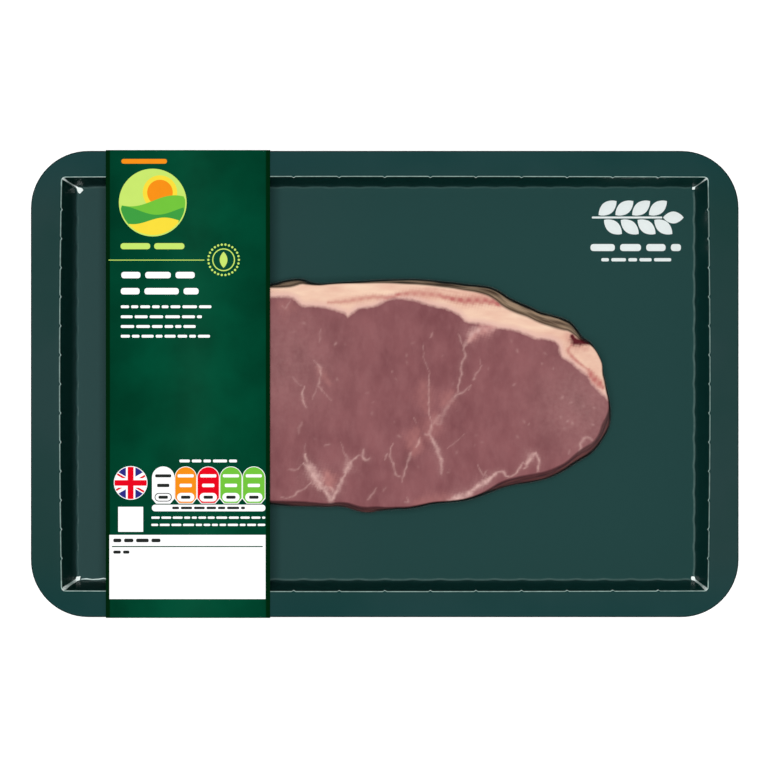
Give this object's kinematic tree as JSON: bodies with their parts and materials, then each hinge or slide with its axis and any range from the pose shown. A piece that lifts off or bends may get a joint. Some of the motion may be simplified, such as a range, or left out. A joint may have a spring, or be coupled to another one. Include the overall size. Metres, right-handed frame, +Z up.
{
  "type": "meat tray pack",
  "caption": "Steak with a fat edge in a shallow board tray, skin packed under clear film, with a printed card sleeve round one side.",
  "frame": {"origin": "middle of the pack on the surface that it lies on", "axes": "+X along the tray's long side, +Y towards the steak's fat edge, +Z up through the film"},
  "size_m": [0.255, 0.1692, 0.0222],
  "materials": {
    "printed_board": "dark teal printed board, satin",
    "printed_card": "green printed card, satin",
    "clear_film": "clear glossy film",
    "beef_lean": "moist raw beef",
    "beef_fat": "moist raw fat"
  },
  "bodies": {
    "root": {"tray": "printed_board", "sleeve": "printed_card", "skin_film": "clear_film", "steak_lean": "beef_lean", "steak_fat": "beef_fat"}
  },
  "joints": []
}
